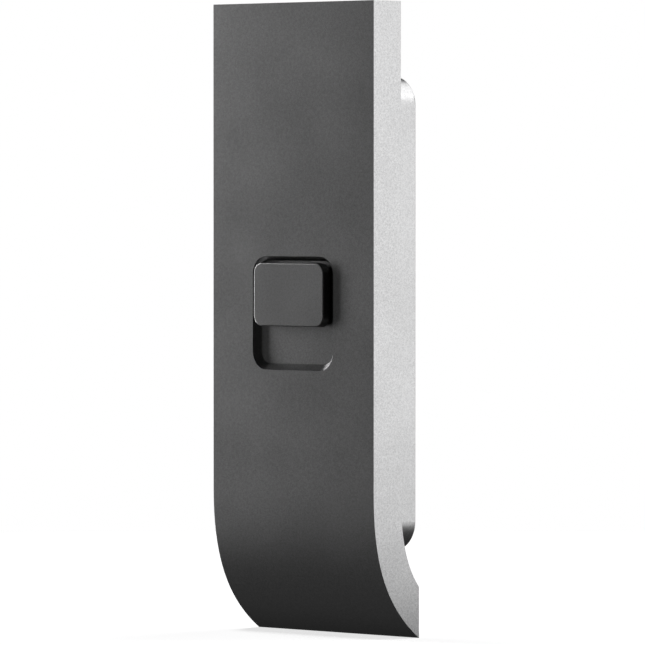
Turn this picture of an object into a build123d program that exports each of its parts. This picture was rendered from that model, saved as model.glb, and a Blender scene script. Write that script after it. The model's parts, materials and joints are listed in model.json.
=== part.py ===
from build123d import *

import os
from math import cos, radians, sin

# Video doorbell for a wall. Millimetres. X is across the face, Z is up, and -Y is
# out from the wall. The origin is on the wall plane, level with the button recess.

# ---- driving dimensions ----
WIDTH = 53.9
HEIGHT = 150.0
TIP_Z = -76.4
TOP_Z = TIP_Z + HEIGHT
DEPTH = 15.24
PLATE = 9.09
FACE_Y = -DEPTH
PLATE_BACK_Y = FACE_Y + PLATE

# tail: the plate sweeps back to the wall along one curve of constant thickness
TAIL_RISE = 34.0
TAIL_TOP_PULL = 16.5
TAIL_TIP_PULL = 12.9
TAIL_TIP_ANGLE = 55.2
TAIL_STEPS = 12

# housing behind the plate
POD_W = 51.9
POD_H = 112.0
POD_R = 7.0
POD_EDGE = 0.4
POD_WALL = 2.0
REAR_IN_Y = -3.2
REAR_OUT_Y = -1.6
POST_TOP_Y = -6.4

# cavity in the plate
SKIN = 1.6
CAVITY_Y = FACE_Y + SKIN
CAVITY_W = POD_W - 2 * POD_WALL
CAVITY_H = POD_H - 2 * POD_WALL
CAVITY_R = POD_R - POD_WALL
SEAT = 1.0
SEAT_Y = -7.6
GASKET_T = 0.6
FIT = 0.05

# button recess with 45 degree walls
RECESS = 27.0
RECESS_R = 4.4
RECESS_DEPTH = 1.5
RECESS_TOP_STEP = 0.45
FLOOR_Y = FACE_Y + RECESS_DEPTH
FLOOR_T = 1.1
FLOOR_BACK_Y = FLOOR_Y + FLOOR_T
PAD_SIZE = 31.0

# sliding button
CAP_W = 23.4
CAP_H = 15.05
CAP_R = 2.5
CAP_EDGE = 0.35
CAP_PROUD = 1.5
CAP_FRONT_Y = FACE_Y - CAP_PROUD
CAP_BACK_Y = FLOOR_Y - 0.75
CAP_TOP_Z = 11.95
CAP_Z = CAP_TOP_Z - CAP_H / 2
TRAVEL = 8.6
PRESS = 0.5
LEG_X = 9.4
LEG_W = 1.7
LEG_H = 4.0
LEG_Z = 8.2
LEG_END_Y = -11.25
SLOT_W = 2.2
SLOT_GAP = 0.2

# carriage behind the recess floor
CARRIAGE_W = 23.6
CARRIAGE_TOP_Z = 11.6
CARRIAGE_LOW_Z = -3.6
CARRIAGE_Y = (-12.5, -11.3)
THROAT_W = 15.0
THROAT_Z = 3.4
MAGNET_X = 9.7
MAGNET_Z = -1.6
RAIL_X = 14.3
RAIL_SCREW_Z = 12.1
RAIL_SCREWS = [(x, z) for x in (-RAIL_X, RAIL_X) for z in (-RAIL_SCREW_Z, RAIL_SCREW_Z)]
YOKE_BACK_Y = -10.45
YOKE_BAR_Z = 1.9
YOKE_BAR_H = 2.0
SWITCH_Y = (-9.7, -8.9)
SWITCH_BOARD_BACK_Y = -8.3

# camera behind the floor
CAMERA_Z = 7.6
WINDOW_R = 4.0
WINDOW_T = 0.6
SEAL_T = 0.2
LENS_HOLE_R = 3.0
BARREL_R = 3.4
BARREL_BORE_R = 2.2
HOLDER = 8.6
INFRARED_X = 5.9
INFRARED_R = 1.25

# circuit board
BOARD_W = 43.6
BOARD_LOW_Z = -45.0
BOARD_TOP_Z = 38.0
BOARD_Y = (-6.0, -5.0)
BOARD_SCREWS = [(x, z) for x in (-19.0, 19.0) for z in (-41.0, 34.0)]
HOUSING_SCREWS = [(x, z) for x in (-20.5, 20.5) for z in (-50.3, 50.3)]
POST_R = 2.6

# wiring bay and terminals on the back
BAY_W = 26.0
BAY_Z = (-34.0, -10.0)
BAY_FLOOR_Y = -3.8
BLOCK_W = 20.0
BLOCK_Z = (-33.0, -24.0)
BLOCK_BACK_Y = -3.0
TERMINAL_X = 5.0
TERMINAL_Z = -28.5

# wall bracket
BRACKET_T = 1.5
BRACKET_W = 47.4
BRACKET_H = 107.4
BRACKET_R = 4.8
WALL_SLOT_Z = 40.0
WALL_SLOT_R = 2.1
WALL_SLOT_LENGTH = 8.0
HOOK_X = 15.0
HOOK_W = 5.0
KEY_SCREW_Y = -2.5
KEY_HEAD_R = 1.5
KEY_SHANK_R = 0.95

SETUP_X = 18.0
SETUP_Z = 5.0
SETUP_R = 1.95

# screw holes: radius, and the depth at which each one ends
HOUSING_HOLE_R = 1.2
HOUSING_HOLE_END_Y = -11.5
HOUSING_HEAD_R = 2.2
HOUSING_HEAD_T = 1.2
BOARD_POST_R = 2.2
BOARD_HOLE_R = 0.9
BOARD_HOLE_END_Y = -10.0
RAIL_HOLE_R = 0.6
RAIL_HOLE_END_Y = -14.0
YOKE_HOLE_R = 0.45
SCREW_FIT = 0.02
SCREW_END_GAP = 0.2

# hooks of the wall bracket and their pockets
HOOK_ARM_Z = (45.0, 47.0)
HOOK_TIP_Z = 49.5
HOOK_TOP_Y = -4.4
HOOK_TIP_T = 1.05
POCKET_Z = (39.6, 51.0)
POCKET_WALL = 0.8
POCKET_TOP_Y = -5.4
POCKET_ROOF = 0.6
POCKET_MOUTH_Z = (40.6, 47.05)
KEY_TAB_W = 6.0
KEY_TAB_Z = (-53.0, -51.2)
KEY_BOX_W = 10.0
KEY_BOX_TOP_Z = -47.6
KEY_BOX_Y = -5.6
KEY_HEAD_L = 1.1
SLOT_BOSS = (11.2, 14.0, 2.5)
SLOT_BOSS_Y = -4.4
WINDOW_X = 13.5
WINDOW_W = 11.0
WINDOW_Z = (12.0, 34.0)

# slider
MAGNET_R = 1.1
MAGNET_FIT = 0.05
MAGNET_INSET = 0.2
PEG_X = 6.5
PEG_Z = -2.3
PEG_R = 1.1
YOKE_FIT = (0.3, 0.4)
SLIDE_PAD_R = 0.5
SLIDE_PAD_X = 11.1
SLIDE_PAD_Z = (-2.6, 10.6)
SWITCH_BOARD_W = 17.0
SWITCH_BOARD_Z = (-4.4, 2.9)
SWITCH_W = 4.4
SWITCH_H = 2.0
PLUNGER_R = 0.7
FLEX_W = 5.0
FLEX_T = 0.2
FLEX_TOP_Z = -2.0
FLEX_LOW_Z = -15.4
RAIL_W = 3.4
RAIL_H = 26.4
RAIL_MID_X = 13.7
RAIL_BACK_Y = -10.3
LIP_W = 1.2
LIP_X = 11.4
LIP_FRONT_Y = -11.15
DETENT_X = -13.2
DETENT_R = 0.9
DETENT_Y = (-12.2, -10.4)

# camera
BARREL_Y = (-12.4, -12.0)
BARREL_TIP_R = 2.8
LENS_BACK_Y = -10.9
LENS_DOME_R = 4.0
HOLDER_Y = -8.9
CAMERA_BOARD_Y = -6.8
CAMERA_BOARD_W = 14.4
CAMERA_BOARD_Z = (1.6, 13.4)
SENSOR = 3.0
SENSOR_T = 0.5
LIGHT_HOLE_R = 0.95
LIGHT_GUIDE_R = 0.85
LED = 1.6
LED_Y = -7.7

# electronics
SPREADER_W = 14.0
SPREADER_Z = (17.0, 29.0)
SPREADER_Y = -9.0
PAD_INSET = 0.5
SHIELD_WALL = 0.3
SHIELD_Y = -8.0
ANTENNA_Y = -9.4
ANTENNA_T = 0.4
ANTENNA_Z = (33.0, 36.6)
CELL_W = 32.0
CELL_Z = (-35.0, -17.0)
CELL_Y = (-12.4, -6.4)
SPEAKER_W = 30.0
SPEAKER_Z = (-51.5, -37.0)
SPEAKER_Y = (-12.9, -7.4)
SPEAKER_PORT_Y = (-11.8, -8.8)
CONE_Z = -44.2
CONE_Y = -12.0
MICROPHONE_Y = -4.4


# ---- helpers ----
def slab(width, height, y_front, y_back, radius=0.0, x=0.0, z=0.0):
    """Block with rounded corners seen from the front, between two depths."""
    plane = Plane(origin=(x, y_front, z), x_dir=(1, 0, 0), z_dir=(0, 1, 0))
    outline = RectangleRounded(width, height, radius) if radius else Rectangle(width, height)
    return extrude(plane * outline, amount=y_back - y_front)


def span(width, z_low, z_high, y_front, y_back, radius=0.0, x=0.0):
    """The same block, given by its lowest and highest Z."""
    return slab(width, z_high - z_low, y_front, y_back, radius, x, (z_low + z_high) / 2)


def rod(radius, y_front, y_back, x=0.0, z=0.0):
    """Cylinder along Y."""
    plane = Plane(origin=(x, y_front, z), x_dir=(1, 0, 0), z_dir=(0, 1, 0))
    return extrude(plane * Circle(radius), amount=y_back - y_front)


def post_along_z(radius, z_low, z_high, x, y):
    """Cylinder along Z."""
    return extrude(Plane.XY.offset(z_low) * Pos(x, y) * Circle(radius), amount=z_high - z_low)


def ring(size, inset, y_front, y_back):
    """Frame that follows a rounded rectangle (width, height, radius)."""
    width, height, radius = size
    outer = slab(width, height, y_front, y_back, radius)
    return outer - slab(width - 2 * inset, height - 2 * inset, y_front, y_back, radius - inset)


def screw(head_r, head_y, seat_y, shank_r, tip_y, x, z):
    """Screw driven from the back, with a cross-shaped drive in its head."""
    body = rod(head_r, seat_y, head_y, x, z) + rod(shank_r, tip_y, seat_y, x, z)
    depth = 0.5 * (head_y - seat_y)
    for wide, tall in ((1.3 * head_r, 0.3 * head_r), (0.3 * head_r, 1.3 * head_r)):
        body -= slab(wide, tall, head_y - depth, head_y, 0, x, z)
    return body


def joined(pieces):
    """Several separate solids kept in one node."""
    return Compound(children=list(pieces))


# ---- housing ----
def plate_blank():
    """The face plate with its curved tail, before the cavity is cut."""
    top_of_tail = TIP_Z + TAIL_RISE
    lean = radians(TAIL_TIP_ANGLE)
    outer = Bezier(
        (0, FACE_Y, top_of_tail),
        (0, FACE_Y, top_of_tail - TAIL_TOP_PULL),
        (0, -TAIL_TIP_PULL * sin(lean), TIP_Z + TAIL_TIP_PULL * cos(lean)),
        (0, 0, TIP_Z),
    )
    inner_points = []
    for step in range(TAIL_STEPS + 1):
        along = step / TAIL_STEPS
        heading = outer % along
        inner_points.append(outer @ along + Vector(0, -heading.Z, heading.Y) * PLATE)
    inner = Spline(*inner_points, tangents=[outer % 0, outer % 1])
    outline = [
        outer,
        Line(outer @ 1, inner @ 1),
        inner,
        Line(inner @ 0, (0, PLATE_BACK_Y, TOP_Z)),
        Line((0, PLATE_BACK_Y, TOP_Z), (0, FACE_Y, TOP_Z)),
        Line((0, FACE_Y, TOP_Z), outer @ 0),
    ]
    side = make_face(outline)
    plate = extrude(side, amount=WIDTH / 2, dir=(1, 0, 0), both=True)
    behind_wall = Pos(0, DEPTH, 0) * Box(2 * WIDTH, 2 * DEPTH, 4 * HEIGHT)
    return plate - behind_wall


def recess_cut():
    """Square pocket with sloping walls. The top wall drops straight for a step before it slopes."""
    plane = Plane(origin=(0, FACE_Y, 0), x_dir=(1, 0, 0), z_dir=(0, 1, 0))
    pocket = extrude(plane * RectangleRounded(RECESS, RECESS, RECESS_R), amount=RECESS_DEPTH, taper=45)
    opening = slab(RECESS, RECESS, FACE_Y, FLOOR_Y, RECESS_R)
    return pocket + (Pos(0, 0, RECESS_TOP_STEP) * pocket & opening)


def leg_slot(x):
    low = LEG_Z - LEG_H / 2 - TRAVEL - SLOT_GAP
    high = LEG_Z + LEG_H / 2 + SLOT_GAP
    return span(SLOT_W, low, high, FLOOR_Y - 0.5, FLOOR_BACK_Y + 0.5, 0.6, x)


def front_shell():
    shell = plate_blank()
    shell -= slab(CAVITY_W, CAVITY_H, CAVITY_Y, DEPTH, CAVITY_R)
    shell -= slab(CAVITY_W + 2 * SEAT, CAVITY_H + 2 * SEAT, SEAT_Y, DEPTH, CAVITY_R + SEAT)
    shell += slab(PAD_SIZE, PAD_SIZE, CAVITY_Y, FLOOR_BACK_Y)
    shell += span(SPREADER_W, *SPREADER_Z, CAVITY_Y, SPREADER_Y)
    shell -= recess_cut()
    for x in (-LEG_X, LEG_X):
        shell -= leg_slot(x)
    shell -= rod(WINDOW_R + FIT, FLOOR_Y, FLOOR_Y + WINDOW_T + SEAL_T, 0, CAMERA_Z)
    shell -= rod(LENS_HOLE_R, FLOOR_Y, FLOOR_BACK_Y, 0, CAMERA_Z)
    for x in (-INFRARED_X, INFRARED_X):
        shell -= rod(INFRARED_R + FIT, FLOOR_Y, FLOOR_Y + WINDOW_T, x, CAMERA_Z)
        shell -= rod(LIGHT_HOLE_R, FLOOR_Y, FLOOR_BACK_Y, x, CAMERA_Z)
    for x, z in HOUSING_SCREWS:
        shell += rod(POST_R, CAVITY_Y, POST_TOP_Y, x, z)
        shell -= rod(HOUSING_HOLE_R, HOUSING_HOLE_END_Y, POST_TOP_Y, x, z)
    for x, z in BOARD_SCREWS:
        shell += rod(BOARD_POST_R, CAVITY_Y, BOARD_Y[0], x, z)
        shell -= rod(BOARD_HOLE_R, BOARD_HOLE_END_Y, BOARD_Y[0], x, z)
    for x, z in RAIL_SCREWS:
        shell -= rod(RAIL_HOLE_R, RAIL_HOLE_END_Y, FLOOR_BACK_Y, x, z)
    return shell


def rear_housing(shell):
    housing = slab(POD_W, POD_H, PLATE_BACK_Y, 0, POD_R)
    rim = housing.edges().group_by(Axis.Y)[-1]
    housing = fillet(rim, POD_EDGE)
    housing -= slab(CAVITY_W, CAVITY_H, PLATE_BACK_Y, REAR_IN_Y, CAVITY_R)
    housing -= slab(CAVITY_W, CAVITY_H, REAR_OUT_Y, 0, CAVITY_R)
    skirt = (CAVITY_W + 2 * SEAT - 2 * FIT, CAVITY_H + 2 * SEAT - 2 * FIT, CAVITY_R + SEAT - FIT)
    housing += ring(skirt, SEAT - FIT, SEAT_Y + GASKET_T, PLATE_BACK_Y)
    for x, z in HOUSING_SCREWS:
        housing += rod(POST_R, POST_TOP_Y, REAR_IN_Y, x, z)
    for x in (-HOOK_X, HOOK_X):
        low, high = POCKET_Z
        wide = HOOK_W + 3.4
        housing += span(wide, low, high, POCKET_TOP_Y, REAR_IN_Y, 0, x)
        inner = (wide - 2 * POCKET_WALL, low + POCKET_WALL, high - POCKET_WALL)
        housing -= span(*inner, POCKET_TOP_Y + POCKET_ROOF, REAR_IN_Y, 0, x)
        housing -= span(HOOK_W + 1.4, *POCKET_MOUTH_Z, REAR_IN_Y, REAR_OUT_Y, 0, x)
    for z in (-WALL_SLOT_Z, WALL_SLOT_Z):
        wide, tall, radius = SLOT_BOSS
        housing += slab(wide, tall, SLOT_BOSS_Y, REAR_IN_Y, radius, 0, z)
        housing -= slab(wide - 2, tall - 2, SLOT_BOSS_Y + 1, REAR_OUT_Y, radius - 0.5, 0, z)
    housing += span(BAY_W + 2, BAY_Z[0] - 1, BAY_Z[1] + 1, BAY_FLOOR_Y - 1, REAR_IN_Y, 1.5)
    housing -= span(BAY_W, BAY_Z[0], BAY_Z[1], BAY_FLOOR_Y, REAR_OUT_Y, 1.0)
    housing -= span(BLOCK_W + 0.2, BLOCK_Z[0] - 0.1, BLOCK_Z[1] + 0.1, BAY_FLOOR_Y - 1, BAY_FLOOR_Y)
    half = POD_H / 2
    housing += span(KEY_BOX_W, -half + POD_WALL, KEY_BOX_TOP_Z, KEY_BOX_Y, REAR_IN_Y)
    housing -= span(KEY_BOX_W - 2, -half + POD_WALL, KEY_BOX_TOP_Z - 1, KEY_BOX_Y + 0.8, REAR_OUT_Y)
    housing -= post_along_z(KEY_HEAD_R + 0.1, -half, -half + KEY_HEAD_L, 0, KEY_SCREW_Y)
    housing -= post_along_z(KEY_SHANK_R + 0.1, -half, -half + POD_WALL, 0, KEY_SCREW_Y)
    housing -= post_along_z(0.6, half - POD_WALL, half, 0, MICROPHONE_Y)
    for side in (-1, 1):
        for index in range(4):
            slot = Box(1.6, 1.1, 3 * POD_WALL)
            housing -= Pos(side * (7.5 + 3.0 * index), -3.85, -half) * slot
    housing -= rod(SETUP_R + 0.1, REAR_IN_Y, REAR_OUT_Y, SETUP_X, SETUP_Z)
    for x, z in HOUSING_SCREWS:
        housing -= rod(HOUSING_HEAD_R + 0.1, REAR_OUT_Y - HOUSING_HEAD_T, REAR_OUT_Y, x, z)
        housing -= rod(HOUSING_HOLE_R + 0.1, POST_TOP_Y, REAR_OUT_Y, x, z)
    return housing - shell


def housing_gasket():
    size = (CAVITY_W + 2 * SEAT - 2 * FIT, CAVITY_H + 2 * SEAT - 2 * FIT, CAVITY_R + SEAT - FIT)
    return ring(size, SEAT - 2 * FIT, SEAT_Y, SEAT_Y + GASKET_T)


def housing_screws():
    seat = REAR_OUT_Y - HOUSING_HEAD_T
    shank = HOUSING_HOLE_R - SCREW_FIT
    tip = HOUSING_HOLE_END_Y + SCREW_END_GAP
    return joined(
        screw(HOUSING_HEAD_R, REAR_OUT_Y, seat, shank, tip, x, z) for x, z in HOUSING_SCREWS
    )


# ---- wall bracket ----
def wall_bracket():
    bracket = slab(BRACKET_W, BRACKET_H, -BRACKET_T, 0, BRACKET_R)
    for x in (-HOOK_X, HOOK_X):
        bracket += span(HOOK_W, *HOOK_ARM_Z, HOOK_TOP_Y, -BRACKET_T, 0, x)
        bracket += span(HOOK_W, HOOK_ARM_Z[0], HOOK_TIP_Z, HOOK_TOP_Y, HOOK_TOP_Y + HOOK_TIP_T, 0, x)
    bracket += span(KEY_TAB_W, *KEY_TAB_Z, HOOK_TOP_Y, -BRACKET_T)
    bracket -= post_along_z(KEY_SHANK_R + SCREW_FIT, *KEY_TAB_Z, 0, KEY_SCREW_Y)
    bracket -= span(BAY_W, BAY_Z[0], BAY_Z[1], -BRACKET_T, 0, 1.5)
    for z in (-WALL_SLOT_Z, WALL_SLOT_Z):
        plane = Plane(origin=(0, -BRACKET_T, z), x_dir=(0, 0, 1), z_dir=(0, 1, 0))
        slot = SlotOverall(WALL_SLOT_LENGTH, 2 * WALL_SLOT_R)
        bracket -= extrude(plane * slot, amount=BRACKET_T)
    for x in (-WINDOW_X, WINDOW_X):
        bracket -= span(WINDOW_W, *WINDOW_Z, -BRACKET_T, 0, 2.0, x)
    return bracket


def security_screw():
    low = -POD_H / 2
    body = post_along_z(KEY_HEAD_R, low, low + KEY_HEAD_L, 0, KEY_SCREW_Y)
    body += post_along_z(KEY_SHANK_R, low + KEY_HEAD_L, -49.8, 0, KEY_SCREW_Y)
    socket = Plane.XY.offset(low) * Pos(0, KEY_SCREW_Y) * RegularPolygon(0.85, 6)
    return body - extrude(socket, amount=0.8)


# ---- sliding button ----
def slider_cap():
    cap = slab(CAP_W, CAP_H, CAP_FRONT_Y, CAP_BACK_Y, CAP_R, 0, CAP_Z)
    cap = fillet(cap.edges().group_by(Axis.Y)[0], CAP_EDGE)
    for x in (-LEG_X, LEG_X):
        cap += slab(LEG_W, LEG_H, CAP_BACK_Y, LEG_END_Y, 0.4, x, LEG_Z)
        cap -= rod(YOKE_HOLE_R, LEG_END_Y - 1.2, LEG_END_Y, x, LEG_Z)
    return cap


def press_yoke():
    yoke = slab(2 * (LEG_X + LEG_W / 2), YOKE_BAR_H, LEG_END_Y, YOKE_BACK_Y, 0, 0, YOKE_BAR_Z)
    for x in (-LEG_X, LEG_X):
        low = YOKE_BAR_Z - YOKE_BAR_H / 2
        yoke += span(LEG_W, low, LEG_Z + LEG_H / 2, LEG_END_Y, YOKE_BACK_Y, 0, x)
        yoke -= rod(YOKE_HOLE_R + 0.03, LEG_END_Y, YOKE_BACK_Y, x, LEG_Z)
    return yoke


def yoke_screws():
    head = YOKE_BACK_Y + 0.45
    return joined(
        screw(0.8, head, YOKE_BACK_Y, YOKE_HOLE_R - 0.01, LEG_END_Y - 1.1, x, LEG_Z) for x in (-LEG_X, LEG_X)
    )


def slider_carriage():
    front, back = CARRIAGE_Y
    carriage = span(CARRIAGE_W, CARRIAGE_LOW_Z, CARRIAGE_TOP_Z, front, back, 0.8)
    carriage -= span(THROAT_W, THROAT_Z, CARRIAGE_TOP_Z, front, back)
    for x in (-LEG_X, LEG_X):
        carriage -= slab(LEG_W + YOKE_FIT[0], LEG_H + YOKE_FIT[1], front, back, 0.3, x, LEG_Z)
    for x in (-MAGNET_X, MAGNET_X):
        carriage -= rod(MAGNET_R + MAGNET_FIT, front + MAGNET_INSET, back, x, MAGNET_Z)
    for x in (-PEG_X, PEG_X):
        carriage += rod(PEG_R, back, SWITCH_Y[1], x, PEG_Z)
    return carriage


def slider_magnets():
    front, back = CARRIAGE_Y
    return joined(rod(MAGNET_R, front + MAGNET_INSET, back, x, MAGNET_Z) for x in (-MAGNET_X, MAGNET_X))


def slide_pads():
    front = CARRIAGE_Y[0]
    return joined(
        rod(SLIDE_PAD_R, FLOOR_BACK_Y + 0.02, front, x, z)
        for x in (-SLIDE_PAD_X, SLIDE_PAD_X)
        for z in SLIDE_PAD_Z
    )


def switch_board():
    return span(SWITCH_BOARD_W, *SWITCH_BOARD_Z, SWITCH_Y[1], SWITCH_BOARD_BACK_Y, 0.5)


def bell_switch():
    body = slab(SWITCH_W, SWITCH_H, SWITCH_Y[0], SWITCH_Y[1], 0.3, 0, YOKE_BAR_Z)
    return body - rod(PLUNGER_R + FIT, SWITCH_Y[0], SWITCH_Y[1] - 0.05, 0, YOKE_BAR_Z)


def switch_plunger():
    return rod(PLUNGER_R, YOKE_BACK_Y, SWITCH_Y[0] + 0.2, 0, YOKE_BAR_Z)


def switch_flex():
    """Flat cable from the moving switch board down to its socket on the main board."""
    front = SWITCH_BOARD_BACK_Y
    flex = span(FLEX_W, FLEX_LOW_Z, FLEX_TOP_Z, front, front + FLEX_T)
    return flex + span(FLEX_W, FLEX_LOW_Z - FLEX_T, FLEX_LOW_Z, front, BOARD_Y[0] - 1.0)


def guide_rails():
    rails = []
    for side in (-1, 1):
        rail = slab(RAIL_W, RAIL_H, FLOOR_BACK_Y, RAIL_BACK_Y, 0, side * RAIL_MID_X)
        rail += slab(LIP_W, RAIL_H, LIP_FRONT_Y, RAIL_BACK_Y, 0, side * LIP_X)
        for z in (-RAIL_SCREW_Z, RAIL_SCREW_Z):
            rail -= rod(RAIL_HOLE_R + FIT, FLOOR_BACK_Y, RAIL_BACK_Y, side * RAIL_X, z)
        if side < 0:
            for z in (MAGNET_Z, MAGNET_Z - TRAVEL):
                rail -= rod(DETENT_R + FIT, DETENT_Y[0], RAIL_BACK_Y, DETENT_X, z)
        rails.append(rail)
    return joined(rails)


def detent_magnets():
    return joined(rod(DETENT_R, *DETENT_Y, DETENT_X, z) for z in (MAGNET_Z, MAGNET_Z - TRAVEL))


def rail_screws():
    shank = RAIL_HOLE_R - SCREW_FIT
    tip = RAIL_HOLE_END_Y + SCREW_END_GAP
    return joined(
        screw(1.0, RAIL_BACK_Y + 0.6, RAIL_BACK_Y, shank, tip, x, z) for x, z in RAIL_SCREWS
    )


# ---- camera ----
def lens_window():
    return rod(WINDOW_R, FLOOR_Y, FLOOR_Y + WINDOW_T, 0, CAMERA_Z)


def lens_seal():
    front = FLOOR_Y + WINDOW_T
    outer = rod(WINDOW_R, front, front + SEAL_T, 0, CAMERA_Z)
    return outer - rod(LENS_HOLE_R, front, front + SEAL_T, 0, CAMERA_Z)


def camera_barrel():
    tip, step = BARREL_Y
    barrel = rod(BARREL_TIP_R, tip, step, 0, CAMERA_Z) + rod(BARREL_R, step, HOLDER_Y, 0, CAMERA_Z)
    return barrel - rod(BARREL_BORE_R, tip, HOLDER_Y, 0, CAMERA_Z)


def camera_lens():
    """Front glass of the camera, domed towards the window."""
    tip = BARREL_Y[0]
    glass = rod(BARREL_BORE_R - SCREW_FIT, tip, LENS_BACK_Y, 0, CAMERA_Z)
    ball = Pos(0, tip + FIT + LENS_DOME_R, CAMERA_Z) * Sphere(LENS_DOME_R)
    return glass & ball


def camera_holder():
    body = slab(HOLDER, HOLDER, HOLDER_Y, CAMERA_BOARD_Y, 0.5, 0, CAMERA_Z)
    return body - rod(BARREL_BORE_R, HOLDER_Y, CAMERA_BOARD_Y, 0, CAMERA_Z)


def image_sensor():
    return slab(SENSOR, SENSOR, CAMERA_BOARD_Y - SENSOR_T, CAMERA_BOARD_Y, 0, 0, CAMERA_Z)


def camera_board():
    return span(CAMERA_BOARD_W, *CAMERA_BOARD_Z, CAMERA_BOARD_Y, BOARD_Y[0], 0.5)


def infrared_windows():
    return joined(
        rod(INFRARED_R, FLOOR_Y, FLOOR_Y + WINDOW_T, x, CAMERA_Z) for x in (-INFRARED_X, INFRARED_X)
    )


def light_guides():
    front = FLOOR_BACK_Y + 0.14
    return joined(
        rod(LIGHT_GUIDE_R, front, LED_Y, x, CAMERA_Z) for x in (-INFRARED_X, INFRARED_X)
    )


def infrared_leds():
    return joined(
        slab(LED, LED, LED_Y, CAMERA_BOARD_Y, 0, x, CAMERA_Z) for x in (-INFRARED_X, INFRARED_X)
    )


# ---- electronics ----
def main_board():
    board = span(BOARD_W, BOARD_LOW_Z, BOARD_TOP_Z, *BOARD_Y, 2.0)
    for x, z in BOARD_SCREWS:
        board -= rod(1.0, *BOARD_Y, x, z)
    return board


def board_screws():
    back = BOARD_Y[1]
    shank = BOARD_HOLE_R - SCREW_FIT
    tip = BOARD_HOLE_END_Y + SCREW_END_GAP
    return joined(screw(1.8, back + 0.9, back, shank, tip, x, z) for x, z in BOARD_SCREWS)


def shield_can(width, z_low, z_high, front, x):
    wall = SHIELD_WALL
    can = span(width, z_low, z_high, front, BOARD_Y[0], 0.6, x)
    return can - span(width - 2 * wall, z_low + wall, z_high - wall, front + wall, BOARD_Y[0], 0.3, x)


def processor_shield():
    return shield_can(21.0, 14.5, 31.0, SHIELD_Y, 0)


def radio_shield():
    return shield_can(7.5, 16.0, 30.0, SHIELD_Y + 0.4, -15.5)


def thermal_pad():
    low, high = SPREADER_Z
    wide = SPREADER_W - 2 * PAD_INSET
    return span(wide, low + PAD_INSET, high - PAD_INSET, SPREADER_Y, SHIELD_Y)


def wifi_antenna():
    """Bent strip standing off the top of the board on two feet."""
    low, high = ANTENNA_Z
    back = ANTENNA_Y + ANTENNA_T
    strip = span(22.0, low, high, ANTENNA_Y, back)
    for x in (-9.0, 3.0):
        strip += span(1.2, low, low + ANTENNA_T, back, BOARD_Y[0], 0, x)
    return strip


def power_inductor():
    return slab(6.6, 6.6, -9.6, BOARD_Y[0], 1.2, 16.0, 20.5)


def power_capacitors():
    return joined(rod(1.9, -10.4, BOARD_Y[0], x, 27.6) for x in (14.0, 18.4))


def backup_cell():
    return span(CELL_W, *CELL_Z, *CELL_Y, 2.0)


def cell_foam():
    low, high = CELL_Z
    return span(CELL_W - 3, low + 1.5, high - 1.5, CAVITY_Y, CELL_Y[0])


def cell_tape():
    low, high = CELL_Z
    return span(CELL_W - 5, low + 2, high - 2, CELL_Y[1], BOARD_Y[0])


def board_connectors():
    pieces = [span(6.4, -16.9, -15.6, BOARD_Y[0] - 1.2, BOARD_Y[0])]
    pieces += [slab(3.6, 5.0, -8.0, BOARD_Y[0], 0, x, z) for x, z in ((-18.6, -33.0), (18.6, 8.0))]
    return joined(pieces)


def hall_sensor():
    return slab(2.8, 1.6, -7.0, BOARD_Y[0], 0, MAGNET_X, -6.0)


def speaker_frame():
    low, high = SPEAKER_Z
    front, back = SPEAKER_Y
    frame = span(SPEAKER_W, low, high, front, back, 1.0)
    frame -= span(SPEAKER_W - 2, low + 1, high - 1, front + 0.7, back - 0.8, 0.5)
    return frame - span(SPEAKER_W - 6, low, low + 1, *SPEAKER_PORT_Y)


def speaker_cone():
    plane = Plane(origin=(0, CONE_Y, CONE_Z), x_dir=(1, 0, 0), z_dir=(0, 1, 0))
    outline = loft([plane * Circle(6.2), plane.offset(1.2) * Circle(3.0)])
    hollow = loft([plane * Circle(5.8), plane.offset(0.9) * Circle(2.7)])
    return outline - hollow


def speaker_magnet():
    return rod(4.6, CONE_Y + 1.2, SPEAKER_Y[1] - 0.8, 0, CONE_Z)


def speaker_gasket():
    low, high = -CAVITY_H / 2, SPEAKER_Z[0]
    front, back = SPEAKER_Y
    pad = span(SPEAKER_W, low, high, front, back)
    return pad - span(SPEAKER_W - 4, low, high, SPEAKER_PORT_Y[0], back)


def speaker_mesh():
    low = -CAVITY_H / 2
    return joined(span(11.2, low, low + 0.25, -5.6, -3.3, 0, x) for x in (-12.0, 12.0))


def microphone():
    high = CAVITY_H / 2
    body = Pos(0, MICROPHONE_Y, high - 0.6) * Box(3.6, 2.0, 1.2)
    return body - post_along_z(0.4, high - 0.5, high, 0, MICROPHONE_Y)


def terminal_block():
    block = span(BLOCK_W, *BLOCK_Z, BOARD_Y[1], BLOCK_BACK_Y, 0.4)
    for x in (-TERMINAL_X, TERMINAL_X):
        block -= rod(1.32, -4.7, BLOCK_BACK_Y, x, TERMINAL_Z)
    return block


def terminal_plates():
    plates = []
    for x in (-TERMINAL_X, TERMINAL_X):
        plate = slab(6.4, 6.4, BLOCK_BACK_Y, BLOCK_BACK_Y + 0.6, 0.4, x, TERMINAL_Z)
        plates.append(plate - rod(1.35, BLOCK_BACK_Y, BLOCK_BACK_Y + 0.6, x, TERMINAL_Z))
    return joined(plates)


def terminal_screws():
    seat = BLOCK_BACK_Y + 0.6
    return joined(
        screw(2.4, seat + 1.3, seat, 1.3, -4.6, x, TERMINAL_Z) for x in (-TERMINAL_X, TERMINAL_X)
    )


def setup_switch():
    back = BOARD_Y[1]
    body = slab(3.2, 3.2, back, back + 0.7, 0.3, SETUP_X, SETUP_Z)
    return body + rod(0.8, back + 0.7, back + 0.8, SETUP_X, SETUP_Z)


def setup_button():
    flange = rod(SETUP_R + 0.6, REAR_IN_Y - 0.55, REAR_IN_Y - 0.05, SETUP_X, SETUP_Z)
    return flange + rod(SETUP_R, REAR_IN_Y - 0.05, REAR_OUT_Y - 0.15, SETUP_X, SETUP_Z)


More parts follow.
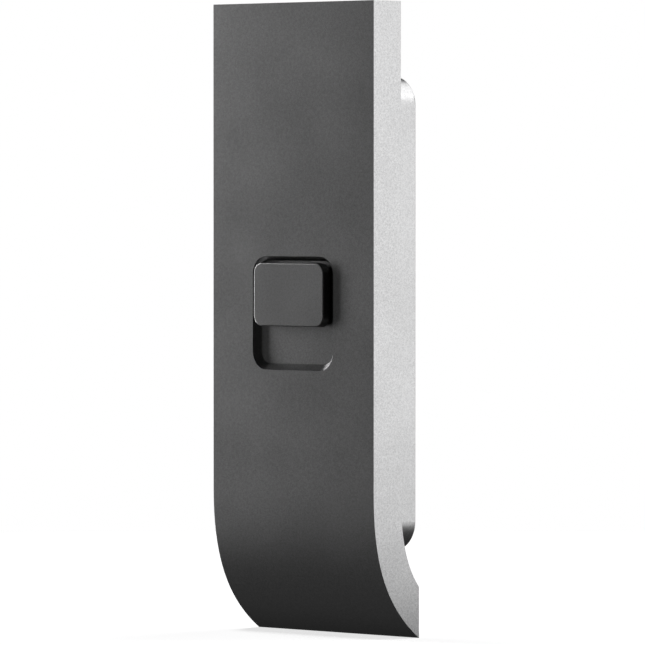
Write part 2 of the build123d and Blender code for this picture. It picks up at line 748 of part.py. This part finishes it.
PARTS = [
    housing_gasket, housing_screws, wall_bracket, security_screw,
    slider_cap, press_yoke, yoke_screws, slider_carriage, slider_magnets, slide_pads,
    switch_board, bell_switch, switch_plunger, switch_flex, guide_rails, detent_magnets,
    rail_screws, lens_window, lens_seal, camera_barrel, camera_lens, camera_holder,
    image_sensor, camera_board, infrared_windows, light_guides, infrared_leds,
    main_board, board_screws, processor_shield, radio_shield, thermal_pad, wifi_antenna,
    power_inductor, power_capacitors, backup_cell, cell_foam, cell_tape,
    board_connectors, hall_sensor, speaker_frame, speaker_cone, speaker_magnet,
    speaker_gasket, speaker_mesh, microphone, terminal_block, terminal_plates,
    terminal_screws, setup_switch, setup_button,
]


def main():
    os.makedirs("parts", exist_ok=True)
    shell = front_shell()
    export_step(shell, "parts/front_shell.step")
    export_step(rear_housing(shell), "parts/rear_housing.step")
    for make in PARTS:
        export_step(make(), f"parts/{make.__name__}.step")


main()
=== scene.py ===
import json
import math

import bmesh
import bpy
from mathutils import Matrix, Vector


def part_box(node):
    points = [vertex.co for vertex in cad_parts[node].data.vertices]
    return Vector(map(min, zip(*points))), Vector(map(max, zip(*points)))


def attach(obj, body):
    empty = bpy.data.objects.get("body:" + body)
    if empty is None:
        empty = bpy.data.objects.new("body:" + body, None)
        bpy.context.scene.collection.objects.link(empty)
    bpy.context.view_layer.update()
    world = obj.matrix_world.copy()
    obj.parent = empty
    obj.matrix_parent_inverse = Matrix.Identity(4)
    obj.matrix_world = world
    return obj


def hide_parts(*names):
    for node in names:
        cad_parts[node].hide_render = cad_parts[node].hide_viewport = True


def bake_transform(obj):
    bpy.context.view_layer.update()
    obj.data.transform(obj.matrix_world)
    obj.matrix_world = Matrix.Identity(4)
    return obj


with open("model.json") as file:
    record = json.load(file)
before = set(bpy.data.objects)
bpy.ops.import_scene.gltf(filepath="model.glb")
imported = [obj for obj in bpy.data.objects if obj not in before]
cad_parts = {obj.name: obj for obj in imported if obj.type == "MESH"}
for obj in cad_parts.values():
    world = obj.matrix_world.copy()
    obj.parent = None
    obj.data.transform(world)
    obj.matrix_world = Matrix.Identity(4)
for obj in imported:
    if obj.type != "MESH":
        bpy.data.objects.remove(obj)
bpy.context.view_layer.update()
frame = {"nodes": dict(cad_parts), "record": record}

NODES = frame["nodes"]
MM = 0.001

FACE_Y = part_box("front_shell")[0].y
TIP_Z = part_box("front_shell")[0].z


# ---- camera ----
IMAGE_PX = 645
FOCAL_PX = 6435
SENSOR_MM = 36.0
EYE_BACK = 1.0825
EYE_OUT = 1.0725
EYE_UP = 0.1066
PITCH_DOWN = math.radians(1.217)
TURN = math.radians(45)


def make_camera():
    data = bpy.data.cameras.new("camera")
    data.sensor_width = SENSOR_MM
    data.lens = FOCAL_PX / IMAGE_PX * SENSOR_MM
    data.clip_end = 50
    camera = bpy.data.objects.new("camera", data)
    bpy.context.scene.collection.objects.link(camera)
    camera.location = (EYE_BACK, FACE_Y - EYE_OUT, TIP_Z + EYE_UP)
    camera.rotation_euler = (math.radians(90) - PITCH_DOWN, 0, TURN)
    bpy.context.scene.camera = camera


# ---- node helpers ----
def new_material(name):
    material = bpy.data.materials.new(name)
    material.use_nodes = True
    tree = material.node_tree
    shader = tree.nodes["Principled BSDF"]
    return material, tree, shader


def add(tree, kind, settings=None, inputs=None):
    """Adds a node. inputs maps a socket to a value or to another node's output."""
    node = tree.nodes.new(kind)
    for key, value in (settings or {}).items():
        setattr(node, key, value)
    for key, value in (inputs or {}).items():
        if isinstance(value, bpy.types.NodeSocket):
            tree.links.new(value, node.inputs[key])
        else:
            node.inputs[key].default_value = value
    return node


def math_node(tree, operation, first, second):
    return add(tree, "ShaderNodeMath", {"operation": operation}, {0: first, 1: second}).outputs[0]


# the mix node has one set of sockets for each kind of value; these are the factor's and the two colours'
MIX_FACTOR = 0
MIX_COLOURS = (6, 7)
MIX_RESULT = 2


def mix_colour(tree, factor, first, second):
    inputs = {MIX_FACTOR: factor, MIX_COLOURS[0]: first, MIX_COLOURS[1]: second}
    return add(tree, "ShaderNodeMix", {"data_type": "RGBA"}, inputs).outputs[MIX_RESULT]


def ramp(tree, value, low, high, start=0.0, end=1.0):
    """Eases from start to end while the value goes from low to high."""
    node = add(tree, "ShaderNodeMapRange", {"clamp": True, "interpolation_type": "SMOOTHSTEP"},
               {"Value": value, "From Min": low, "From Max": high, "To Min": start, "To Max": end})
    return node.outputs[0]


def grain(tree, position, size_mm, detail=2.0, roughness=0.5):
    """Noise whose cells are about size_mm across."""
    node = add(tree, "ShaderNodeTexNoise", None,
               {"Vector": position, "Scale": 1 / (size_mm * MM), "Detail": detail, "Roughness": roughness})
    return node.outputs["Fac"]


def bump(tree, height, strength, depth_mm):
    inputs = {"Height": height, "Strength": strength, "Distance": depth_mm * MM}
    return add(tree, "ShaderNodeBump", None, inputs).outputs[0]


COOL = 1.005
WHITE = (1, 1, 1, 1)


def grey(level):
    """Grey with a very slight blue cast."""
    return (level, level, level * COOL, 1.0)


def object_position(tree):
    return add(tree, "ShaderNodeTexCoord").outputs["Object"]


# the middle part of a noise value, which is stretched to the full range
NOISE_LOW = 0.3
NOISE_HIGH = 0.7


# ---- materials ----
# the dark tone below is the metal's own colour; the light tone after it is painted sheen, standing in for
# the bright reflection the metal shows on its sides, top and back
GRAPHITE = 0.2
PAINTED_SHEEN_TONE = 0.72
# how far the speckle goes below and above the base tone
PAINTED_SHEEN_SPECKLE = (0.76, 1.16)
GRAPHITE_SPECKLE = (0.8, 1.2)
# grain sizes in millimetres, and the finer one's share of the speckle
FINE_BLAST = 0.22
MEDIUM_BLAST = 0.6
FINE_SHARE = 0.7
CLOUD = 18.0
CLOUD_DEPTH = 0.025
CLOUD_TONE = 0.02
BLAST_ROUGHNESS = (0.33, 0.36)
# Y part of the surface's direction, where the painted sheen tone gives way to graphite
PAINTED_SHEEN_UNTIL = -0.15
GRAPHITE_FROM = -0.3


def anodised(name, dark, light, dark_front):
    """Bead-blasted graphite metal: the dark tone where it faces the visitor, the light tone elsewhere,
    which is painted sheen standing in for the bright reflection on the sides, top and back.
    """
    material, tree, shader = new_material(name)
    place = add(tree, "ShaderNodeTexCoord")
    position = place.outputs["Object"]
    fine = grain(tree, position, FINE_BLAST, 3.0, 0.6)
    medium = grain(tree, position, MEDIUM_BLAST)
    cloud = grain(tree, position, CLOUD, 3.0)
    fine_part = math_node(tree, "MULTIPLY", fine, FINE_SHARE)
    medium_part = math_node(tree, "MULTIPLY", medium, 1 - FINE_SHARE)
    speckle = ramp(tree, math_node(tree, "ADD", fine_part, medium_part), NOISE_LOW, NOISE_HIGH)
    # the light tone, speckled: painted sheen
    less, more = PAINTED_SHEEN_SPECKLE
    colour = mix_colour(tree, speckle, grey(light * less), grey(light * more))
    # the front keeps the metal's own dark tone; everywhere else the painted sheen tone stays
    if dark_front:
        facing = add(tree, "ShaderNodeSeparateXYZ", None, {0: place.outputs["Normal"]}).outputs["Y"]
        front = ramp(tree, facing, PAINTED_SHEEN_UNTIL, GRAPHITE_FROM)
        less, more = GRAPHITE_SPECKLE
        deep = mix_colour(tree, speckle, grey(dark * less), grey(dark * more))
        colour = mix_colour(tree, front, colour, deep)
    colour = mix_colour(tree, ramp(tree, cloud, 0.35, 0.65, 0.0, CLOUD_DEPTH), colour, grey(CLOUD_TONE))
    tree.links.new(colour, shader.inputs["Base Color"])
    shader.inputs["Metallic"].default_value = 1.0
    tree.links.new(ramp(tree, cloud, NOISE_LOW, NOISE_HIGH, *BLAST_ROUGHNESS), shader.inputs["Roughness"])
    tree.links.new(bump(tree, fine, 0.25, 0.01), shader.inputs["Normal"])
    return material


PATCH = 6.0
PATCH_ROUGHNESS = (0.97, 1.03)


def plain(name, colour, metallic, rough, cell_mm, depth_mm, tone=0.12):
    """A moulded, stamped or plated finish with its own grain."""
    material, tree, shader = new_material(name)
    position = object_position(tree)
    fine = grain(tree, position, cell_mm, 3.0, 0.6)
    patch = grain(tree, position, PATCH)
    low = tuple(c * (1 - tone) for c in colour) + (1.0,)
    high = tuple(min(1.0, c * (1 + tone)) for c in colour) + (1.0,)
    speckle = ramp(tree, fine, NOISE_LOW, NOISE_HIGH)
    tree.links.new(mix_colour(tree, speckle, low, high), shader.inputs["Base Color"])
    shader.inputs["Metallic"].default_value = metallic
    smoother, rougher = (min(1.0, rough * part) for part in PATCH_ROUGHNESS)
    tree.links.new(ramp(tree, patch, NOISE_LOW, NOISE_HIGH, smoother, rougher), shader.inputs["Roughness"])
    tree.links.new(bump(tree, fine, 0.4, depth_mm), shader.inputs["Normal"])
    return material


# colour, metallic, roughness, size of the grain in millimetres, depth of the grain in millimetres
PLAIN_FINISHES = {
    "gasket_rubber": ((0.02, 0.02, 0.02), 0.0, 0.7, 0.3, 0.02),
    "screw_steel": ((0.5, 0.5, 0.5), 1.0, 0.32, 0.2, 0.01),
    "bracket_steel": ((0.6, 0.6, 0.59), 1.0, 0.42, 0.5, 0.02),
    "stamped_steel": ((0.6, 0.6, 0.6), 1.0, 0.35, 0.4, 0.01),
    "black_plastic": ((0.018, 0.018, 0.019), 0.0, 0.5, 0.15, 0.02),
    "white_plastic": ((0.75, 0.74, 0.71), 0.0, 0.45, 0.2, 0.01),
    "magnet_metal": ((0.75, 0.75, 0.76), 1.0, 0.18, 0.3, 0.005),
    "board_green": ((0.02, 0.12, 0.05), 0.0, 0.35, 0.5, 0.03),
    "flex_amber": ((0.5, 0.22, 0.04), 0.0, 0.3, 0.4, 0.01),
    "clear_plastic": ((0.85, 0.87, 0.88), 0.0, 0.15, 0.5, 0.004),
    "chip_black": ((0.03, 0.03, 0.033), 0.0, 0.55, 0.1, 0.01),
    "shield_tin": ((0.7, 0.7, 0.69), 1.0, 0.3, 0.5, 0.01),
    "thermal_grey": ((0.4, 0.42, 0.47), 0.0, 0.8, 0.3, 0.02),
    "brass_parts": ((0.72, 0.53, 0.25), 1.0, 0.3, 0.3, 0.01),
    "capacitor_can": ((0.7, 0.7, 0.7), 1.0, 0.25, 0.4, 0.01),
    "cell_wrap": ((0.08, 0.16, 0.34), 0.0, 0.3, 0.8, 0.02),
    "foam_black": ((0.04, 0.04, 0.04), 0.0, 0.95, 0.35, 0.15),
    "cone_paper": ((0.09, 0.09, 0.09), 0.0, 0.8, 0.25, 0.03),
    "mesh_black": ((0.03, 0.03, 0.03), 0.0, 0.85, 0.12, 0.05),
}
WINDOW_GLASS = ((0.012, 0.012, 0.014), 0.0, 0.04, 3.0, 0.001, 0.05)
WINDOW_COATING = {"IOR": 1.5, "Coat Weight": 0.6, "Coat Roughness": 0.02}


def make_materials():
    made = {
        "anodised_shell": anodised("anodised_shell", GRAPHITE, PAINTED_SHEEN_TONE, True),
        # the housing takes the painted sheen tone all over, in place of its bright reflection
        "anodised_housing": anodised("anodised_housing", GRAPHITE, PAINTED_SHEEN_TONE, False),
        "anodised_button": anodised("anodised_button", GRAPHITE, GRAPHITE, True),
    }
    for name, finish in PLAIN_FINISHES.items():
        made[name] = plain(name, *finish)
    glass = plain("window_glass", *WINDOW_GLASS)
    for socket, value in WINDOW_COATING.items():
        glass.node_tree.nodes["Principled BSDF"].inputs[socket].default_value = value
    made["window_glass"] = glass
    return made


def dress_nodes(made):
    for entry in frame["record"]["subparts"]:
        mesh = NODES[entry["node"]].data
        material = made[entry["material_slot"]]
        if not mesh.materials:
            mesh.materials.append(material)
        for index in range(len(mesh.materials)):
            mesh.materials[index] = material


# ---- mesh helpers ----
def mesh_piece(name, shape, material, smooth=False):
    """Turns a bmesh into an object with a finish."""
    bmesh.ops.recalc_face_normals(shape, faces=shape.faces)
    mesh = bpy.data.meshes.new(name)
    shape.to_mesh(mesh)
    shape.free()
    for face in mesh.polygons:
        face.use_smooth = smooth
    mesh.materials.append(material)
    piece = bpy.data.objects.new(name, mesh)
    bpy.context.scene.collection.objects.link(piece)
    return piece


def keep_mesh(name, shape, made, slot, body, smooth=False):
    """Makes a new piece that rides on a body."""
    piece = mesh_piece(name, shape, made[slot], smooth)
    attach(piece, body)


def join_loops(shape, here, there):
    """Closes the wall between two loops that have the same number of corners."""
    for index in range(len(here)):
        after = (index + 1) % len(here)
        shape.faces.new((here[index], here[after], there[after], there[index]))


def brick(shape, low, high, bevel):
    """Block between two corners in millimetres, with softened edges."""
    pick = [(a, b, c) for a in (0, 1) for b in (0, 1) for c in (0, 1)]
    ends = (low, high)
    corners = [shape.verts.new((ends[a][0] * MM, ends[b][1] * MM, ends[c][2] * MM)) for a, b, c in pick]
    sides = ((0, 1, 3, 2), (4, 6, 7, 5), (0, 4, 5, 1), (2, 3, 7, 6), (0, 2, 6, 4), (1, 5, 7, 3))
    faces = [shape.faces.new([corners[i] for i in side]) for side in sides]
    edges = list({edge for face in faces for edge in face.edges})
    bmesh.ops.bevel(shape, geom=edges, offset=bevel * MM, segments=2, affect="EDGES", profile=0.6)


def turned(shape, profile, centre, steps=72):
    """Closed ring made by turning (radius, y) points in millimetres about a line along Y."""
    loops = []
    for step in range(steps):
        turn = 2 * math.pi * step / steps
        across, up = math.cos(turn), math.sin(turn)
        points = [((centre[0] + r * across) * MM, y * MM, (centre[1] + r * up) * MM) for r, y in profile]
        loops.append([shape.verts.new(point) for point in points])
    for step in range(steps):
        join_loops(shape, loops[step], loops[(step + 1) % steps])


def middle(node):
    """The node's middle in x and z, in millimetres."""
    low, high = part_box(node)
    return ((low.x + high.x) / 2 / MM, (low.z + high.z) / 2 / MM)


# ---- small parts of the circuit board ----
BOARD_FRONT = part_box("main_board")[0].y / MM
BOARD_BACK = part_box("main_board")[1].y / MM
# first x and z, step in x and z, count, width, height and thickness in millimetres, and kind
FRONT_ROWS = [
    (-20.0, -3.0, 1.7, 0.0, 6, 1.0, 0.5, 0.5, "ceramic"),
    (-20.0, -5.0, 1.7, 0.0, 6, 1.0, 0.5, 0.35, "resistor"),
    (6.5, -9.0, 1.7, 0.0, 8, 1.0, 0.5, 0.35, "resistor"),
    (6.5, -11.0, 1.7, 0.0, 8, 1.0, 0.5, 0.5, "ceramic"),
    (-16.5, -10.5, 8.0, 0.0, 2, 4.0, 4.0, 0.8, "chip"),
    (14.8, -4.5, 0.0, 6.0, 2, 3.0, 3.0, 0.7, "chip"),
    (-19.5, 12.5, 1.7, 0.0, 6, 1.0, 0.5, 0.5, "ceramic"),
    (-19.0, 5.0, 3.4, 0.0, 3, 2.4, 1.6, 0.8, "chip"),
    (-19.8, 2.0, 1.7, 0.0, 7, 1.0, 0.5, 0.35, "resistor"),
    (10.5, 13.0, 1.7, 0.0, 6, 1.0, 0.5, 0.5, "ceramic"),
    (12.2, 34.0, 1.6, 0.0, 3, 1.0, 0.5, 0.35, "resistor"),
    (-18.6, -20.0, 0.0, -2.2, 4, 1.6, 0.8, 0.7, "ceramic"),
    (18.6, -20.0, 0.0, -2.2, 8, 1.6, 0.8, 0.5, "resistor"),
]
BACK_ROWS = [
    (-17.0, 27.0, 1.8, 0.0, 10, 1.0, 0.5, 0.5, "ceramic"),
    (-17.0, 24.5, 1.8, 0.0, 10, 1.0, 0.5, 0.35, "resistor"),
    (-14.0, 18.0, 7.5, 0.0, 3, 5.0, 5.0, 0.9, "chip"),
    (-17.0, 11.5, 1.8, 0.0, 12, 1.0, 0.5, 0.5, "ceramic"),
    (-15.0, 5.0, 6.0, 0.0, 4, 3.0, 3.0, 0.8, "chip"),
    (-17.0, -1.0, 1.8, 0.0, 12, 1.0, 0.5, 0.35, "resistor"),
    (-17.5, -14.0, 0.0, -3.0, 8, 2.4, 1.4, 0.8, "chip"),
    (17.5, -12.0, 0.0, -3.0, 9, 1.6, 0.8, 0.7, "ceramic"),
    (-15.0, -40.0, 2.4, 0.0, 13, 1.6, 0.8, 0.5, "resistor"),
]
PART_FINISHES = {
    "chip": "chip_black",
    "ceramic": "flex_amber",
    "resistor": "black_plastic",
    "solder": "shield_tin",
}
PART_BEVEL = 0.05
SOLDER_BEVEL = 0.04
# solder at the ends of ceramics and resistors: its length, and how far it stands above the part
END_CAP = 0.22
END_CAP_RISE = 0.03
# solder at the sides of chips
PIN_PITCH = 0.8
PIN_LENGTH = 0.5
PIN_WIDTH = 0.3
PIN_RISE = 0.12


def make_board_parts(made):
    shapes = {kind: bmesh.new() for kind in PART_FINISHES}
    for rows, surface, outward in ((FRONT_ROWS, BOARD_FRONT, -1), (BACK_ROWS, BOARD_BACK, 1)):
        for x, z, step_x, step_z, count, width, height, thick, kind in rows:
            place = place_chip if kind == "chip" else place_small_part
            for index in range(count):
                centre = (x + index * step_x, z + index * step_z)
                place(shapes[kind], shapes["solder"], centre, (width, height, thick), surface, outward)
    for kind, slot in PART_FINISHES.items():
        keep_mesh("board_" + kind + "s", shapes[kind], made, slot, "housing")


def place_chip(bodies, solder, centre, size, surface, outward):
    """A chip with a row of pins at its left and right."""
    x, z = centre
    width, height, thick = size
    near, far = sorted((surface, surface + outward * thick))
    brick(bodies, (x - width / 2, near, z - height / 2), (x + width / 2, far, z + height / 2), PART_BEVEL)
    near, far = sorted((surface, surface + outward * PIN_RISE))
    pins = max(2, int(height / PIN_PITCH))
    for pin in range(pins):
        level = z + (pin - (pins - 1) / 2) * PIN_PITCH
        bottom, top = level - PIN_WIDTH / 2, level + PIN_WIDTH / 2
        for side in (-1, 1):
            edge = x + side * (width / 2 + PIN_LENGTH / 2)
            left, right = edge - PIN_LENGTH / 2, edge + PIN_LENGTH / 2
            brick(solder, (left, near, bottom), (right, far, top), SOLDER_BEVEL)


def place_small_part(bodies, solder, centre, size, surface, outward):
    """A small part with a solder cap at its left and right."""
    x, z = centre
    width, height, thick = size
    bottom, top = z - height / 2, z + height / 2
    near, far = sorted((surface, surface + outward * thick))
    brick(bodies, (x - width / 2 + END_CAP, near, bottom), (x + width / 2 - END_CAP, far, top), PART_BEVEL)
    near, far = sorted((surface, surface + outward * (thick + END_CAP_RISE)))
    for side in (-1, 1):
        edge = x + side * (width / 2 - END_CAP / 2)
        brick(solder, (edge - END_CAP / 2, near, bottom), (edge + END_CAP / 2, far, top), SOLDER_BEVEL)


# ---- camera and speaker details ----
BAFFLE_OUTER_R = 2.95
BAFFLE_INNER_R = 2.0
BAFFLE_WIDENS = 0.25
BAFFLE_GAP = 0.02
BAFFLE_STEPS = 3


def make_lens_baffle(made):
    """Stepped ring that keeps stray light off the lens, just behind the window."""
    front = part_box("lens_seal")[1].y / MM
    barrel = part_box("camera_barrel")[0].y / MM
    back = barrel - BAFFLE_GAP
    step = (barrel - front) / BAFFLE_STEPS
    profile = [(BAFFLE_OUTER_R, front), (BAFFLE_OUTER_R, back)]
    for index in range(BAFFLE_STEPS):
        inner = BAFFLE_INNER_R + BAFFLE_WIDENS * index
        profile += [(inner, back - index * step), (inner, back - (index + 1) * step)]
    shape = bmesh.new()
    turned(shape, profile, middle("lens_seal"))
    keep_mesh("lens_baffle", shape, made, "black_plastic", "housing")


DOME_R = 2.9
DOME_DEPTH = 0.35
DOME_HEIGHT = 0.7
DOME_THICK = 0.1
DOME_TURNS = (0.0, 0.3, 0.6, 0.9, 1.2, 1.45)


def make_dust_cap(made):
    """Domed cap in the middle of the speaker's cone."""
    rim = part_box("speaker_cone")[1].y / MM - DOME_DEPTH
    dome = [(DOME_R * math.cos(a), rim - DOME_HEIGHT * math.sin(a)) for a in DOME_TURNS]
    profile = dome + [(r, y + DOME_THICK) for r, y in reversed(dome)]
    shape = bmesh.new()
    turned(shape, profile, middle("speaker_cone"))
    keep_mesh("cone_dust_cap", shape, made, "cone_paper", "housing", True)


FLEX_FOLDS = 3
FLEX_STEPS = 60
FLEX_SWING = 0.45
FLEX_THICK = 0.16


def make_flex(made):
    """Slack ribbon between the moving switch and its socket, with shallow folds along it."""
    low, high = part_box("switch_flex")
    left, right = low.x / MM, high.x / MM
    top_z, bottom_z = high.z / MM, low.z / MM
    start_y = low.y / MM
    end_y = high.y / MM - FLEX_THICK
    section = ((left, 0), (right, 0), (right, FLEX_THICK), (left, FLEX_THICK))
    shape = bmesh.new()
    loops = []
    for step in range(FLEX_STEPS + 1):
        along = step / FLEX_STEPS
        z = top_z + (bottom_z - top_z) * along
        fade = math.sin(math.pi * along)
        fold = FLEX_SWING * fade * (1 - math.cos(2 * math.pi * FLEX_FOLDS * along)) / 2
        y = start_y + (end_y - start_y) * along ** 3 + fold * (1 - along ** 3)
        loops.append([shape.verts.new((x * MM, (y + depth) * MM, z * MM)) for x, depth in section])
    for here, there in zip(loops, loops[1:]):
        join_loops(shape, here, there)
    shape.faces.new(loops[0])
    shape.faces.new(loops[-1])
    ribbon = mesh_piece("switch_ribbon", shape, made["flex_amber"])
    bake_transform(ribbon)
    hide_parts("switch_flex")


# ---- studio ----
def area_light(name, direction, distance, size, power):
    """Card that faces the object's middle."""
    data = bpy.data.lights.new(name, "AREA")
    data.shape = "RECTANGLE"
    data.size, data.size_y = size
    data.energy = power
    lamp = bpy.data.objects.new(name, data)
    bpy.context.scene.collection.objects.link(lamp)
    aim = Vector(direction).normalized()
    lamp.location = aim * distance
    lamp.rotation_mode = "QUATERNION"
    lamp.rotation_quaternion = aim.to_track_quat("Z", "Y")
    lamp.visible_camera = False
    return lamp


def flat_piece(name, corners):
    mesh = bpy.data.meshes.new(name)
    mesh.from_pydata(corners, [], [tuple(range(len(corners)))])
    piece = bpy.data.objects.new(name, mesh)
    bpy.context.scene.collection.objects.link(piece)
    return piece


PAPER_GRAIN = 2.0
FLOOR_R = 0.45
FLOOR_SIDES = 64
FLOOR_GLOW = 0.73


def make_floor():
    turns = [2 * math.pi * step / FLOOR_SIDES for step in range(FLOOR_SIDES)]
    floor = flat_piece("floor", [(FLOOR_R * math.cos(a), FLOOR_R * math.sin(a), TIP_Z) for a in turns])
    material, tree, shader = new_material("floor_paper")
    tone = mix_colour(tree, grain(tree, object_position(tree), PAPER_GRAIN), grey(0.9), grey(0.93))
    tree.links.new(tone, shader.inputs["Base Color"])
    shader.inputs["Roughness"].default_value = 1.0
    shader.inputs["Specular IOR Level"].default_value = 0.0
    shader.inputs["Emission Color"].default_value = WHITE
    shader.inputs["Emission Strength"].default_value = FLOOR_GLOW
    floor.data.materials.append(material)
    floor.visible_diffuse = False
    floor.visible_glossy = False
    floor.visible_shadow = False
    return floor


FLAG_LENGTH = 0.22
FLAG_HALF = 0.12
# the card is black up to the first distance and reaches its full glow at the second
FLAG_BLACK = 0.035
FLAG_FADED = 0.18
FLAG_GLOW = 0.4


def make_flag():
    """Dark card on the floor behind the right side, which only reflections see."""
    away = Vector((1, 1, 0)).normalized()
    across = Vector((-1, 1, 0)).normalized()
    near = Vector((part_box("front_shell")[1].x, 0, TIP_Z - MM))
    far = near + away * FLAG_LENGTH
    half = across * FLAG_HALF
    corners = [near - half, far - half, far + half, near + half]
    flag = flat_piece("dark_flag", [tuple(c) for c in corners])
    material, tree, shader = new_material("flag_cloth")
    position = object_position(tree)
    tone = mix_colour(tree, grain(tree, position, PAPER_GRAIN), grey(0.01), grey(0.015))
    tree.links.new(tone, shader.inputs["Base Color"])
    reach = add(tree, "ShaderNodeVectorMath", {"operation": "DISTANCE"}, {0: position, 1: near})
    glow = ramp(tree, reach.outputs["Value"], FLAG_BLACK, FLAG_FADED, 0.0, FLAG_GLOW)
    shader.inputs["Emission Color"].default_value = WHITE
    tree.links.new(glow, shader.inputs["Emission Strength"])
    shader.inputs["Roughness"].default_value = 1.0
    flag.data.materials.append(material)
    flag.visible_camera = False
    flag.visible_diffuse = False
    flag.visible_shadow = False


# light from everywhere
FILL = 0.015
# direction, inner and outer half angle in degrees, brightness
SOFT_GLOWS = [
    ((0.7, 0.7, 0.0), 20, 42, 1.02),
    ((0.25, 0.7, 0.6), 14, 33, 1.5),
    ((-0.7, -0.55, -0.5), 15, 65, 0.1),
    ((0.1, -1.0, 0.1), 8, 25, 0.3),
]


def make_world():
    """Dark room with soft glows for the object, and plain white for the camera."""
    world = bpy.data.worlds.new("studio")
    bpy.context.scene.world = world
    world.use_nodes = True
    tree = world.node_tree
    background = tree.nodes["Background"]
    way = add(tree, "ShaderNodeTexCoord").outputs["Generated"]
    glow = FILL
    for direction, inner, outer, level in SOFT_GLOWS:
        both = {0: way, 1: tuple(Vector(direction).normalized())}
        facing = add(tree, "ShaderNodeVectorMath", {"operation": "DOT_PRODUCT"}, both).outputs["Value"]
        edge, core = math.cos(math.radians(outer)), math.cos(math.radians(inner))
        glow = math_node(tree, "ADD", glow, ramp(tree, facing, edge, core, 0.0, level))
    seen = add(tree, "ShaderNodeLightPath").outputs["Is Camera Ray"]
    colour = mix_colour(tree, seen, glow, WHITE)
    tree.links.new(colour, background.inputs["Color"])
    background.inputs["Strength"].default_value = 1.0


def link_light(lamp, piece, state):
    """EXCLUDE: the lamp lights everything but this piece. INCLUDE: it lights this piece alone."""
    group = bpy.data.collections.new(lamp.name + "_group")
    group.objects.link(piece)
    group.collection_objects[0].light_linking.link_state = state
    lamp.light_linking.receiver_collection = group


# name, direction, distance in metres, size in metres, watts, how it treats the floor
LAMPS = [
    ("left_card", (-0.955, -0.29, 0.1), 0.36, (0.077, 0.317), 1.05, "EXCLUDE"),
    ("upper_left_card", (-0.71, -0.52, 0.42), 0.6, (0.05, 0.12), 0.26, "EXCLUDE"),
    ("back_card", (0.0, 0.35, 1.0), 1.2, (0.3, 0.3), 0.6, "EXCLUDE"),
    ("floor_card", (-0.3, -0.1, 1.0), 1.2, (0.3, 0.3), 4.0, "INCLUDE"),
]


def make_lights(floor):
    for name, direction, distance, size, power, state in LAMPS:
        link_light(area_light(name, direction, distance, size, power), floor, state)


bpy.context.scene.view_settings.view_transform = "Standard"
make_camera()
finishes = make_materials()
dress_nodes(finishes)
make_board_parts(finishes)
make_lens_baffle(finishes)
make_dust_cap(finishes)
make_flex(finishes)
floor_piece = make_floor()
make_flag()
make_world()
make_lights(floor_piece)
